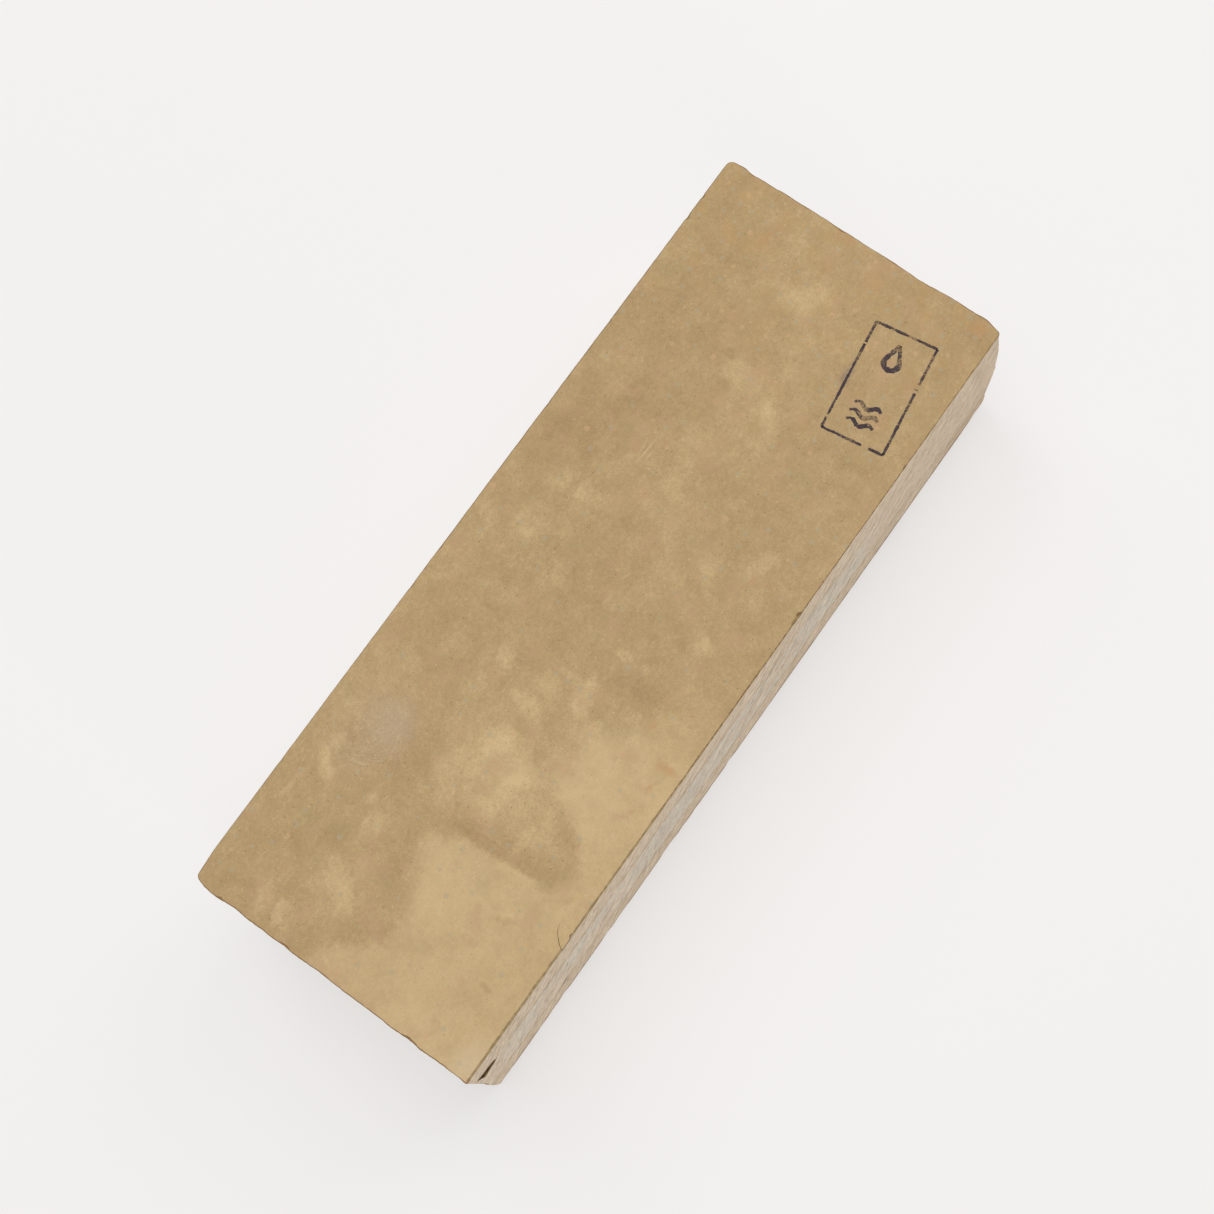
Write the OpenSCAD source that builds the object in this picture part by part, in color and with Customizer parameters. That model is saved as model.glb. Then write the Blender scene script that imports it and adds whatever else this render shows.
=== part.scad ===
// A natural bench whetstone, in millimetres: two bonded beds of rock on a natural rind, with an ink stamp on top.
// +X points at the stamped end, +Z out of the honing face, and the origin is under the middle of the block.

/* [Block] */
// Length of the honing face
face_length = 205; // [180:1:230]
// Width between the two sawn sides
block_width = 75.5; // [70:0.5:90]
// Height from the bench to the honing face
block_height = 60; // [56:1:70]
// How far the natural break bulges out past the honing face at the stamped end
stamped_bulge = 4.5; // [3.5:0.1:5.5]
// How far the plain end swells past the honing face
plain_bulge = 0.6; // [0.4:0.1:1.5]

/* [Beds] */
// Height of the bedding plane at which the two beds meet
parting_height = 42; // [36:1:46]
// Thickness of the natural rind underneath
rind_thickness = 2; // [1.5:0.1:3]
// How far the rind stops short of the honing face's length at the stamped end
rind_setback = 4.5; // [3:0.1:8]

/* [Open parting] */
// Run of the open parting along the sawn side
parting_run = 6.9; // [4:0.1:10]
// Run of the open parting across the plain end
parting_depth = 9; // [4:0.1:14]
// Gape above the bedding plane at the corner
parting_gape_up = 4; // [2:0.1:6]
// Gape below the bedding plane at the corner
parting_gape_down = 4; // [2:0.1:6]

/* [Edges] */
// Bevel of the near long edge at the plain end
bevel_plain = 0.8; // [0.5:0.05:1.2]
// Bevel of the near long edge at the stamped end
bevel_stamped = 0.25; // [0.1:0.05:0.5]
// Chamfer of the near corner at the stamped end
near_corner_cut = 1.3; // [0.5:0.1:2]
// Chamfer of the far corner at the stamped end
far_corner_cut = 0.8; // [0.5:0.1:2]
// How far the far long side curves in at the plain end
far_side_waste = 1; // [0.4:0.1:1.5]
// Length over which the far long side curves in
far_side_run = 10; // [6:1:16]

/* [Edge flake] */
// Distance of the flake's crack from the plain end, along the near edge
flake_start = 34.5; // [20:0.5:60]
// Thickness of the flake
flake_thickness = 1.2; // [0.8:0.1:2]

/* [Ink stamp] */
// Length of the stamp's border
stamp_length = 28.6; // [24:0.1:30]
// Width of the stamp's border
stamp_width = 15.8; // [14:0.1:17]
// Width of the border's line
stamp_line = 0.55; // [0.4:0.05:0.8]
// Turn of the stamp against the long edge, in degrees
stamp_turn = 7.8; // [0:0.1:12]
// Distance of the stamp's centre from the stamped end of the honing face
stamp_from_end = 27.1; // [24:0.1:32]
// Distance of the stamp's centre from the near long edge
stamp_from_edge = 15.2; // [13:0.1:20]
// Depth to which the ink has soaked in
ink_depth = 0.06; // [0.04:0.01:0.2]

/* [Hidden] */
$fn = 48;
half_length = face_length / 2;
half_width = block_width / 2;
centre_shift = (plain_bulge - stamped_bulge) / 2;  // brings the middle of the whole block over the origin
clear = 1;  // how far a cutter runs past the rock

// [share of the height, share of the bulge], from the honing face down
stamped_break = [[1, 0], [0.82, 0.36], [0.63, 0.69], [0.46, 0.9], [0.33, 1], [0.22, 0.84], [0.15, 0.7], [0.07, 0.8]];
plain_break = [[1, 0], [0.62, 0.05], [0.47, 0.2], [0.38, 0.75], [0.25, 1], [0.1, 0.9]];
stamped_toe = [half_length + 1.4, rind_thickness];  // where each break meets the rind
plain_toe = [-half_length + 1.6, rind_thickness];

// the broken end of the rind: [how far it stops short of the setback, share of the width]
rind_break = [[0, -0.5], [-0.6, -0.27], [0.8, -0.05], [-0.4, 0.18], [0.6, 0.5]];

// the crack round the flake and the lip left where the edge beside it has chipped, from where the crack starts
flake_crack = [[0, 0], [0.7, 1.25], [1.8, 2.45], [2.6, 3.1], [3.5, 3.5], [4.3, 3.75], [5.1, 3.2], [5.3, 1.9], [4.7, 0.9]];
flake_lip = [[3.4, 0.45], [2.2, 0.3], [1, 0.15]];

// the small scallop in the near edge, by its place along the honing face and its depth
scallop_radius = 2;
scallop_depth = 0.45;
scallop_from_middle = 20.5;

// the marks inside the border, placed from its centre
drop_radius = 2.3;
drop_height = 5.2;  // from the centre of the round part to the tip
drop_hole = 1.2;
drop_place = [6.4, 0.2];
wave_length = 7;
wave_height = 0.55;
wave_line = 0.9;
wave_pitch = 2.2;
wave_count = 3;
wave_steps = 24;
wave_place = [-7.6, 0.3];

module side_profile() {
    polygon(concat(
        [for (p = stamped_break) [half_length + stamped_bulge * p[1], block_height * p[0]]],
        [stamped_toe, plain_toe],
        [for (i = [len(plain_break) - 1 : -1 : 0])
            [-half_length - plain_bulge * plain_break[i][1], block_height * plain_break[i][0]]]));
}

// the block between two heights, with its broken ends and its sawn sides
module rock(low, high) {
    intersection() {
        rotate([90, 0, 0])
            linear_extrude(block_width, center = true)
                side_profile();
        translate([-face_length, -block_width, low])
            cube([face_length * 2, block_width * 2, high - low]);
    }
}

// an upright edge at the stamped end, taken off along the slope of the break; side is -1 near, 1 far
module corner_cut(side, size) {
    fall = block_height * (stamped_break[0][0] - stamped_break[4][0]);
    translate([half_length, side * half_width, block_height])
        rotate([0, -atan(stamped_bulge / fall), 0])
            rotate([0, 0, side * 45])
                translate([-size / sqrt(2), -half_width / 2, -block_height * 1.2])
                    cube([half_width, half_width, block_height * 1.2 + clear]);
}

// the far long side where it curves in towards the plain end
module far_side_cut() {
    translate([-half_length + far_side_run, half_width, -clear])
        rotate([0, 0, atan(far_side_waste / far_side_run)])
            translate([-half_length, 0, 0])
                cube([half_length, half_width, block_height + clear * 2]);
}

// the worn bevel of the near long edge, wider at the plain end
module near_bevel_cut() {
    narrowing = atan((bevel_plain - bevel_stamped) / (sqrt(2) * face_length));
    middle = (bevel_plain + bevel_stamped) / 2;
    translate([0, -half_width, block_height])
        rotate([45, 0, 0])
            rotate([0, -narrowing, 0])
                translate([-face_length, -clear * 4, -middle / sqrt(2)])
                    cube([face_length * 2, clear * 8, clear * 4]);
}

// everything on the corner's side of a plane that meets the bedding plane at run and depth, and the corner at gape
module parting_cut(gape) {
    lean = [1 / parting_run, 1 / parting_depth, 1 / gape];
    reach = parting_run + parting_depth + gape;
    rotate([0, atan2(norm([lean[0], lean[1]]), lean[2]), atan2(lean[1], lean[0])])
        translate([-reach, -reach, 1 / norm(lean) - reach * 2])
            cube([reach * 2, reach * 2, reach * 2]);
}

module at_parting_corner() {
    translate([-half_length, -half_width, parting_height])
        children();
}

module at_flake(depth) {
    translate([-half_length + flake_start, -half_width, block_height - depth])
        children();
}

module at_stamp() {
    translate([half_length - stamp_from_end, -half_width + stamp_from_edge, block_height - ink_depth])
        rotate([0, 0, stamp_turn])
            children();
}

module border_mark() {
    difference() {
        square([stamp_length, stamp_width], center = true);
        square([stamp_length - stamp_line * 2, stamp_width - stamp_line * 2], center = true);
    }
}

// a water drop: a ring with its two tangents brought to a point
module drop_mark() {
    lean = acos(drop_radius / drop_height);
    touch = [drop_radius * cos(lean), drop_radius * sin(lean)];
    translate(drop_place)
        difference() {
            union() {
                circle(drop_radius);
                polygon([[drop_height, 0], [touch[0], touch[1]], [touch[0], -touch[1]]]);
            }
            circle(drop_hole);
        }
}

// one stroke whose two sides follow the same sine
module wave_stroke() {
    half_turns = 540;
    ridge = [for (i = [0 : wave_steps]) [wave_height * sin(half_turns * i / wave_steps),
                                         wave_length * (i / wave_steps - 0.5)]];
    polygon(concat(
        [for (p = ridge) p - [wave_line / 2, 0]],
        [for (i = [len(ridge) - 1 : -1 : 0]) ridge[i] + [wave_line / 2, 0]]));
}

module waves_mark() {
    for (i = [0 : wave_count - 1])
        translate(wave_place + [wave_pitch * (i - (wave_count - 1) / 2), 0])
            wave_stroke();
}

module ink(height) {
    at_stamp()
        linear_extrude(height)
            children();
}

module honing_bed() {
    color([0.71, 0.61, 0.45])
        translate([centre_shift, 0, 0])
            difference() {
                rock(parting_height, block_height);
                corner_cut(-1, near_corner_cut);
                corner_cut(1, far_corner_cut);
                far_side_cut();
                near_bevel_cut();
                at_parting_corner() parting_cut(parting_gape_up);
                at_flake(flake_thickness)
                    linear_extrude(flake_thickness + clear)
                        polygon(concat([[0, -clear]], flake_crack, [[flake_crack[len(flake_crack) - 1][0], -clear]]));
                translate([scallop_from_middle, -half_width - scallop_radius + scallop_depth, block_height])
                    sphere(scallop_radius);
                ink(ink_depth + clear) {
                    border_mark();
                    drop_mark();
                    waves_mark();
                }
            }
}

module base_bed() {
    color([0.76, 0.7, 0.62])
        translate([centre_shift, 0, 0])
            difference() {
                rock(rind_thickness, parting_height);
                corner_cut(-1, near_corner_cut);
                corner_cut(1, far_corner_cut);
                far_side_cut();
                at_parting_corner() mirror([0, 0, 1]) parting_cut(parting_gape_down);
            }
}

module back_skin() {
    color([0.55, 0.42, 0.29])
        translate([centre_shift, 0, 0])
            difference() {
                linear_extrude(rind_thickness)
                    polygon(concat(
                        [[plain_toe[0], half_width], [plain_toe[0], -half_width]],
                        [for (p = rind_break) [half_length - rind_setback - p[0], block_width * p[1]]]));
                far_side_cut();
            }
}

module edge_flake() {
    color([0.76, 0.66, 0.49])
        translate([centre_shift, 0, 0])
            difference() {
                at_flake(flake_thickness)
                    linear_extrude(flake_thickness)
                        polygon(concat(flake_crack, flake_lip));
                near_bevel_cut();
            }
}

module ink_border() {
    color([0.24, 0.2, 0.22])
        translate([centre_shift, 0, 0])
            ink(ink_depth) border_mark();
}

module ink_drop() {
    color([0.24, 0.2, 0.22])
        translate([centre_shift, 0, 0])
            ink(ink_depth) drop_mark();
}

module ink_waves() {
    color([0.24, 0.2, 0.22])
        translate([centre_shift, 0, 0])
            ink(ink_depth) waves_mark();
}

honing_bed();
base_bed();
back_skin();
edge_flake();
ink_border();
ink_drop();
ink_waves();
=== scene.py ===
import math

import bpy
from mathutils import Matrix, Vector, noise


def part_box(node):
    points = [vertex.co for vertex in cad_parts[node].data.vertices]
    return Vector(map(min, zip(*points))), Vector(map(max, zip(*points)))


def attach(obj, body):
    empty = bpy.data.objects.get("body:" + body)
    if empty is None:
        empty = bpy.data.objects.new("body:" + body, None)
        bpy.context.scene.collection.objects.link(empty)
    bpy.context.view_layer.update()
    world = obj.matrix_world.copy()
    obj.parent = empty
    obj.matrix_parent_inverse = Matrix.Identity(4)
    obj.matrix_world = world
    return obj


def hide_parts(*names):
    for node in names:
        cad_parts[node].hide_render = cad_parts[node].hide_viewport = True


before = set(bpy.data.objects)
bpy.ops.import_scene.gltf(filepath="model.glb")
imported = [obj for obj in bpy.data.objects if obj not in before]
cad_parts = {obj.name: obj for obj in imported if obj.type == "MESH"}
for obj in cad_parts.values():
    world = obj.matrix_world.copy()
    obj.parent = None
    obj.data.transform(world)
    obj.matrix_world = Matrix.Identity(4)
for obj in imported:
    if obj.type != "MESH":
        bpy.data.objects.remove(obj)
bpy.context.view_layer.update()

mm = 0.001
honingLow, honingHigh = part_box("honing_bed")
stampLow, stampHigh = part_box("ink_border")

# Everything below is in millimetres, counted from the middle of the honing face's plan and from the bench.
block = {
    "length": 205.0,  # of the honing face
    "width": (honingHigh.y - honingLow.y) / mm,
    "top": honingHigh.z / mm,
    "parting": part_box("base_bed")[1].z / mm,  # the bedding plane between the two beds
    "rind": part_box("back_skin")[1].z / mm,
    "alongStep": 0.5,  # spacing of the outline's points on the long sides
    "acrossStep": 0.65,  # and on the ends
    "cornerSteps": 5,
    "cornerRadius": {"near plain": 0.35, "near stamped": 0.7, "far stamped": 1.8, "far plain": 0.9},
}
stamp = {
    "fromEnd": 27.1,  # its centre, from the stamped end of the honing face
    "turn": math.radians(7.8),
    "length": 28.6,
    "width": 15.8,
}
halfLength = block["length"] / 2
halfWidth = block["width"] / 2
middleX = (stampLow.x + stampHigh.x) / 2 / mm - (halfLength - stamp["fromEnd"])
stampX = halfLength - stamp["fromEnd"]
stampY = (stampLow.y + stampHigh.y) / 2 / mm


def clamped(value):
    return min(1.0, max(0.0, value))


def smooth(low, high, value):
    share = clamped((value - low) / (high - low))
    return share * share * (3 - 2 * share)


def wander(x, y, z, size, seed=0.0):
    return noise.noise(Vector((x / size + seed, y / size - seed, z / size + 0.37 * seed)))


def along(points, at):  # the height of a drawn line at a place, straight between its points
    if at <= points[0][0]:
        return points[0][1]
    for (x0, y0), (x1, y1) in zip(points, points[1:]):
        if at <= x1:
            return y0 + (y1 - y0) * (at - x0) / (x1 - x0)
    return points[-1][1]


# node trees written as expressions

class Link:  # one socket's value, with arithmetic
    def __init__(self, graph, socket):
        self.graph = graph
        self.socket = socket

    def __add__(self, other):
        return self.graph.math("ADD", self, other)

    def __sub__(self, other):
        return self.graph.math("SUBTRACT", self, other)

    def __rsub__(self, other):
        return self.graph.math("SUBTRACT", other, self)

    def __mul__(self, other):
        return self.graph.math("MULTIPLY", self, other)

    def __truediv__(self, other):
        return self.graph.math("DIVIDE", self, other)

    def __rtruediv__(self, other):
        return self.graph.math("DIVIDE", other, self)

    __radd__ = __add__
    __rmul__ = __mul__


class Graph:
    def __init__(self, tree):
        self.tree = tree
        tree.nodes.clear()

    def node(self, kind, settings=None, values=None, out=0):
        made = self.tree.nodes.new(kind)
        for name, value in (settings or {}).items():
            if name == "stops":
                self.setStops(made.color_ramp, value)
            elif name == "bends":
                self.setBends(made.mapping, value)
            else:
                setattr(made, name, value)
        for name, value in (values or {}).items():
            if isinstance(value, Link):
                self.tree.links.new(value.socket, made.inputs[name])
            else:
                made.inputs[name].default_value = value
        return Link(self, made.outputs[out]) if made.outputs else made

    def setStops(self, ramp, stops):
        while len(ramp.elements) < len(stops):
            ramp.elements.new(0.5)
        for element, (place, colour) in zip(ramp.elements, stops):
            element.position = place
            element.color = colour

    def setBends(self, mapping, bends):
        curve = mapping.curves[0]
        while len(curve.points) < len(bends):
            curve.points.new(0.5, 0.5)
        for point, place in zip(curve.points, bends):
            point.location = place
            point.handle_type = "AUTO_CLAMPED"
        mapping.update()

    def math(self, operation, first, second=0.0):
        return self.node("ShaderNodeMath", {"operation": operation}, {0: first, 1: second})

    def vector(self, operation, first, second, out=0):
        return self.node("ShaderNodeVectorMath", {"operation": operation}, {0: first, 1: second}, out)

    def scaled(self, vector, amount):
        return self.node("ShaderNodeVectorMath", {"operation": "SCALE"}, {0: vector, "Scale": amount})

    def split(self, vector):
        made = self.node("ShaderNodeSeparateXYZ", None, {0: vector})
        return [Link(self, socket) for socket in made.socket.node.outputs]

    def join(self, x, y, z):
        return self.node("ShaderNodeCombineXYZ", None, {0: x, 1: y, 2: z})

    def length(self, vector):
        return self.vector("LENGTH", vector, (0.0, 0.0, 0.0), 1)

    def ease(self, value, low, high, bottom=0.0, top=1.0):
        return self.node("ShaderNodeMapRange", {"interpolation_type": "SMOOTHSTEP"},
                         {"Value": value, "From Min": low, "From Max": high, "To Min": bottom, "To Max": top})

    def fall(self, value, low, high):  # 1 below the first value, 0 above the second
        return self.ease(value, low, high, 1.0, 0.0)

    def noise(self, vector, scale, detail=3.0, roughness=0.5, distortion=0.0, out=0):
        return self.node("ShaderNodeTexNoise", {"noise_dimensions": "3D"},
                         {"Vector": vector, "Scale": scale, "Detail": detail, "Roughness": roughness,
                          "Distortion": distortion}, out)

    def cells(self, vector, scale, out=0, feature="F1", dimensions="2D"):
        return self.node("ShaderNodeTexVoronoi", {"feature": feature, "voronoi_dimensions": dimensions},
                         {"Vector": vector, "Scale": scale}, out)

    def blend(self, share, first, second, how="MIX"):
        return self.node("ShaderNodeMix", {"data_type": "RGBA", "blend_type": how},
                         {0: share, 6: first, 7: second}, 2)

    # 1 inside a soft ellipse, 0 outside
    def near(self, vector, x, y, halfLong, halfWide, turn=0.0, core=0.25):
        local = self.node("ShaderNodeMapping", {"vector_type": "TEXTURE"},
                          {"Vector": vector, "Location": (x, y, block["top"]),
                           "Rotation": (0.0, 0.0, math.radians(turn)), "Scale": (halfLong, halfWide, 400.0)})
        ball = self.node("ShaderNodeTexGradient", {"gradient_type": "SPHERICAL"}, {"Vector": local}, 1)
        return self.ease(ball, 0.0, 1.0 - core)


def paint(red, green, blue):  # a colour as it is seen on the surface, 0 to 255, as a linear base colour
    def linear(value):
        share = value / 255
        return share / 12.92 if share <= 0.04045 else ((share + 0.055) / 1.055) ** 2.4
    return (linear(red), linear(green), linear(blue), 1.0)


class Finish(Graph):  # a material whose patterns are in millimetres on the block
    def __init__(self, name):
        self.material = bpy.data.materials.new(name)
        self.material.use_nodes = True
        super().__init__(self.material.node_tree)
        place = self.node("ShaderNodeTexCoord", None, None, 3)
        self.place = self.node("ShaderNodeVectorMath", {"operation": "MULTIPLY_ADD"},
                               {0: place, 1: (1 / mm, 1 / mm, 1 / mm), 2: (-middleX, 0.0, 0.0)})
        self.colour = None  # what the tints below are laid over

    def mottle(self, scale, detail=3.0, roughness=0.5, distortion=0.0, out=0):
        return self.noise(self.place, scale, detail, roughness, distortion, out)

    def ramp(self, value, *stops):  # each stop is a share and a colour as it is seen
        return self.node("ShaderNodeValToRGB", {"stops": [(share, paint(*seen)) for share, seen in stops]},
                         {"Fac": value})

    def shifted(self, *offset):
        return self.vector("ADD", self.place, offset)

    def tint(self, share, red, green, blue):
        self.colour = self.blend(share, self.colour, paint(red, green, blue))

    def surface(self, roughness, height=None, depth=0.0, specular=0.25, alpha=None):
        values = {"Base Color": self.colour, "Roughness": roughness, "Specular IOR Level": specular}
        if height is not None:
            values["Normal"] = self.node("ShaderNodeBump", None,
                                         {"Strength": 1.0, "Distance": depth * mm, "Height": height})
        if alpha is not None:
            values["Alpha"] = alpha
        return self.finish(values)

    def finish(self, values):
        shader = self.node("ShaderNodeBsdfPrincipled", None, values)
        self.node("ShaderNodeOutputMaterial", None, {"Surface": shader})
        return self.material


# camera, floor and light

view = {
    "azimuth": -36.86,
    "elevation": 76.13,
    "roll": -17.87,
    "distance": 439.5,
    "lens": 58.52,
    "sensor": 36.0,
    "clipStart": 0.01,  # metres
    "target": (-1.2, -1.5, block["top"]),
}
lights = [  # name, watts, size in metres, azimuth, elevation, distance in metres
    ("overheadSoftbox", 6.0, 0.9, 180.0, 84.0, 1.2),
    ("farSoftbox", 2.6, 0.7, 165.0, 55.0, 1.2),
    ("endSoftbox", 2.6, 0.7, 80.0, 52.0, 1.2),
    ("nearSoftbox", 3.2, 0.4, -20.0, 13.0, 1.2),
]
room = {
    "sky": 0.3,
    "skyColour": (1.0, 0.995, 0.99, 1.0),
    "floorReach": 3.0,  # metres from the middle to the paper's edges
    "floorColour": (0.96, 0.945, 0.935),
    "floorDiffuse": 0.33,  # share of the colour that answers to the lights
    "floorGlow": 0.615,  # and what the paper gives off evenly
}


def direction(azimuth, elevation):
    a, e = math.radians(azimuth), math.radians(elevation)
    return Vector((math.sin(a) * math.cos(e), -math.cos(a) * math.cos(e), math.sin(e)))


def addObject(data):  # an object of the same name as its data, in the scene
    made = bpy.data.objects.new(data.name, data)
    bpy.context.scene.collection.objects.link(made)
    return made


def makeCamera():
    camera = addObject(bpy.data.cameras.new("camera"))
    camera.data.lens = view["lens"]
    camera.data.sensor_width = view["sensor"]
    camera.data.clip_start = view["clipStart"]
    target = Vector(view["target"]) * mm + Vector((middleX * mm, 0, 0))
    place = target + direction(view["azimuth"], view["elevation"]) * view["distance"] * mm
    turn = (Matrix.Rotation(math.radians(view["azimuth"]), 4, "Z")
            @ Matrix.Rotation(math.radians(90 - view["elevation"]), 4, "X")
            @ Matrix.Rotation(math.radians(view["roll"]), 4, "Z"))
    camera.matrix_world = Matrix.Translation(place) @ turn
    bpy.context.scene.camera = camera


def makeFloor():
    reach = room["floorReach"]
    mesh = bpy.data.meshes.new("floor")
    mesh.from_pydata([(-reach, -reach, 0), (reach, -reach, 0), (reach, reach, 0), (-reach, reach, 0)], [],
                     [(0, 1, 2, 3)])
    floor = addObject(mesh)
    red, green, blue = room["floorColour"]
    share = room["floorDiffuse"]
    mesh.materials.append(Finish("studioPaper").finish({
        "Base Color": (red * share, green * share, blue * share, 1.0), "Roughness": 0.9,
        "Specular IOR Level": 0.0, "Emission Color": (red, green, blue, 1.0),
        "Emission Strength": room["floorGlow"]}))


def makeLights():
    world = bpy.data.worlds.new("room")
    world.use_nodes = True
    sky = world.node_tree.nodes["Background"].inputs
    sky["Color"].default_value = room["skyColour"]
    sky["Strength"].default_value = room["sky"]
    bpy.context.scene.world = world
    for name, watts, size, azimuth, elevation, distance in lights:
        lamp = bpy.data.lights.new(name, "AREA")
        lamp.shape = "DISK"
        lamp.size = size
        lamp.energy = watts
        back = direction(azimuth, elevation)
        holder = addObject(lamp)
        holder.location = back * distance
        holder.rotation_mode = "QUATERNION"
        holder.rotation_quaternion = back.to_track_quat("Z", "Y")
    bpy.context.scene.view_settings.view_transform = "Standard"


makeCamera()
makeFloor()
makeLights()
print("camera, floor and lights are in place")


# the finishes

honingLook = {
    "deep": (161, 133, 93),
    "middle": (180, 152, 109),
    "pale": (206, 178, 133),
    # the upper limit of the pale corner, with the tongue in it
    "paleEdge": [
        (-102.5, 7.5), (-97, 5), (-93.5, 1), (-90.5, -3.2), (-85, -4.8), (-80, -4), (-73, -1.2), (-67, 1.5),
        (-63.5, 0.5), (-61.2, -4), (-60.3, -14), (-59.3, -24), (-57, -28.2), (-53, -29.8), (-49, -28),
        (-46.5, -25), (-43, -19), (-40, -14.5), (-36, -11.5), (-30, -12), (-24, -15.5), (-19, -20.5),
        (-14, -25), (-9, -31), (-4, -37),
    ],
    "clouds": [  # x, y, half length, half width, turn, strength: pale above zero, deep below
        (-66.5, 28, 5.2, 2.4, 42, 0.42), (-59.9, 29.8, 2.2, 1.3, 30, 0.34),
        (-73.3, 32.6, 5.5, 0.8, -12, 0.22), (-97.3, 21.5, 4.2, 2.6, 30, 0.22),
        (-97.8, 17.2, 3.6, 1.2, 18, 0.34), (-85.5, 10, 8, 3.4, 46, 0.3), (-65.3, 16, 3, 1.6, 20, 0.3),
        (-70.3, 12, 3.4, 3, 0, 0.24), (-58, 4.6, 2.6, 1.6, 10, 0.1), (-47.5, -3, 13, 10.5, -35, 0.34),
        (-33, 3, 15, 13, 0, 0.12), (-18.4, -3.8, 1.3, 4.6, 8, 0.16), (-54, -7, 3.6, 3, 20, 0.16),
        (-43.5, -8.2, 5, 3.8, 0, 0.16), (-54.4, -17, 4.4, 1.5, 0, 0.24), (-40, 1.5, 4.5, 7, 20, 0.2),
        (-47, 8, 9, 4, 15, 0.12), (-49.5, -17.5, 6, 6, 0, 0.16), (-39, -17.5, 4, 4, 0, 0.1),
        (-56.6, 3.6, 3.4, 2.2, 35, 0.14), (-54.2, 0, 4.8, 1.1, 28, -0.2), (-59.4, -8, 1.5, 10.5, 2, -0.16),
        (-52.6, -21.5, 3.6, 2.6, 0, 0.1), (-23.4, 10, 5.4, 2.4, 4, 0.26), (-29, 1.2, 2.6, 4.2, -8, 0.3),
        (-22.8, -1.4, 3, 3, 0, 0.24), (-22.6, -9.6, 3.8, 3.2, 0, 0.3), (-17, -8.8, 3.6, 1.4, 32, 0.26),
        (-7.9, -10.8, 1.8, 2.6, 0, 0.3), (-24.6, -15.4, 2.2, 1.4, 0, 0.26), (-8, -17, 2, 2, 0, 0.16),
        (5, 24.6, 6.5, 4.4, 0, 0.22), (2, 22.6, 2.6, 1.8, 0, 0.12), (17.3, 24.9, 3.6, 3, 0, 0.28),
        (17, 18, 2.4, 4.6, 0, 0.16), (3.5, -23.4, 3.4, 3.6, 0, 0.26), (19, -15, 3.6, 2.2, 20, 0.24),
        (25.4, -24.4, 6, 2.8, -22, 0.3), (30.4, 15, 2.6, 1.3, -10, 0.2), (59.8, 5, 3.6, 6, -8, 0.3),
        (54.5, -6.5, 5.2, 2.4, 46, 0.28), (47.3, 31, 2, 4, 0, 0.2), (38.5, 4, 4, 5, 0, 0.14),
        (84, 3, 4, 8, 30, 0.16), (-78, 20, 9, 6.5, -30, -0.14), (-99, 10.5, 4, 4.5, 0, -0.1),
        (12, 5.5, 14, 10, 0, -0.1), (28, 29, 15, 8.5, 0, -0.13), (36, -4, 7, 9, 0, -0.08),
        (-12, 20, 8, 7, 0, -0.06), (9.5, -30, 7, 5, 0, -0.1), (-14, -18, 4.5, 9, 24, -0.14),
        (-72, 3.4, 11, 4, 8, -0.1), (-88.5, -1.6, 5, 3, -30, -0.1), (43, 21, 8, 6, 0, -0.08),
        (-69, -24.5, 1.2, 3.2, 20, 0.12), (-84.3, -29.2, 0.9, 2, 0, -0.3), (-70, -23.6, 0.8, 2.8, 20, -0.2),
        (60, 20, 34, 20, 0, -0.11), (-78, 31, 26, 9, 0, -0.08), (-2, -30, 20, 8, 0, 0.1),
        (-60, -30, 16, 8, 0, 0.06),
    ],
    "warmSpots": [  # x, y, half length, half width, share
        (96, -7, 3, 4, 0.4), (90.4, 19.2, 3.6, 2, 0.55), (87.8, 28, 3, 2.4, 0.4), (101.6, 4, 2.4, 3.4, 0.6),
        (99.6, -32.8, 3.4, 2.4, 0.75), (-16.8, -25.4, 1.6, 1.2, 0.5), (-23.4, -33.3, 1.3, 2.6, 0.8),
        (-28.2, -33.2, 0.9, 1.2, 0.7), (-24.6, -15.4, 1.3, 0.9, 0.4), (22, -25, 1.8, 1.2, 0.35),
        (-35.4, -32.2, 1, 1, 0.6), (24, 8, 3, 2.4, 0.2),
    ],
    "scratches": [  # x, y, half length, half width, turn
        (-70.4, 13.9, 2.2, 0.32, -8), (-63.8, 13.3, 1.1, 0.35, -20), (34, 12.4, 4.5, 0.4, -4),
        (33, 11.2, 3, 0.25, -4), (33.5, 13.6, 3.5, 0.22, 6),
    ],
    "scuff": (-53.0, 25.0, 16.0, 13.0),  # x, y, half length, half width
    "powder": (-99.0, -36.0, 9.0, 6.0),
    "roughness": 0.62,
}
sawnLook = {
    "lean": 60.0,  # of the saw marks above the bedding, in degrees
    "upper": (209, 190, 165),  # pinkish beige above the bedding line
    "blueGrey": (204, 195, 179),
    "lower": (203, 183, 157),
    "bedding": (185, 161, 131),
    "foot": (168, 142, 112),
    "bands": [
        (0, "foot"), (0.07, "lower"), (0.25, "lower"), (0.285, "bedding"), (0.32, "blueGrey"),
        (0.68, "blueGrey"), (0.73, "bedding"), (0.765, "upper"), (1, "upper"),
    ],  # by share of the height
}


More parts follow.
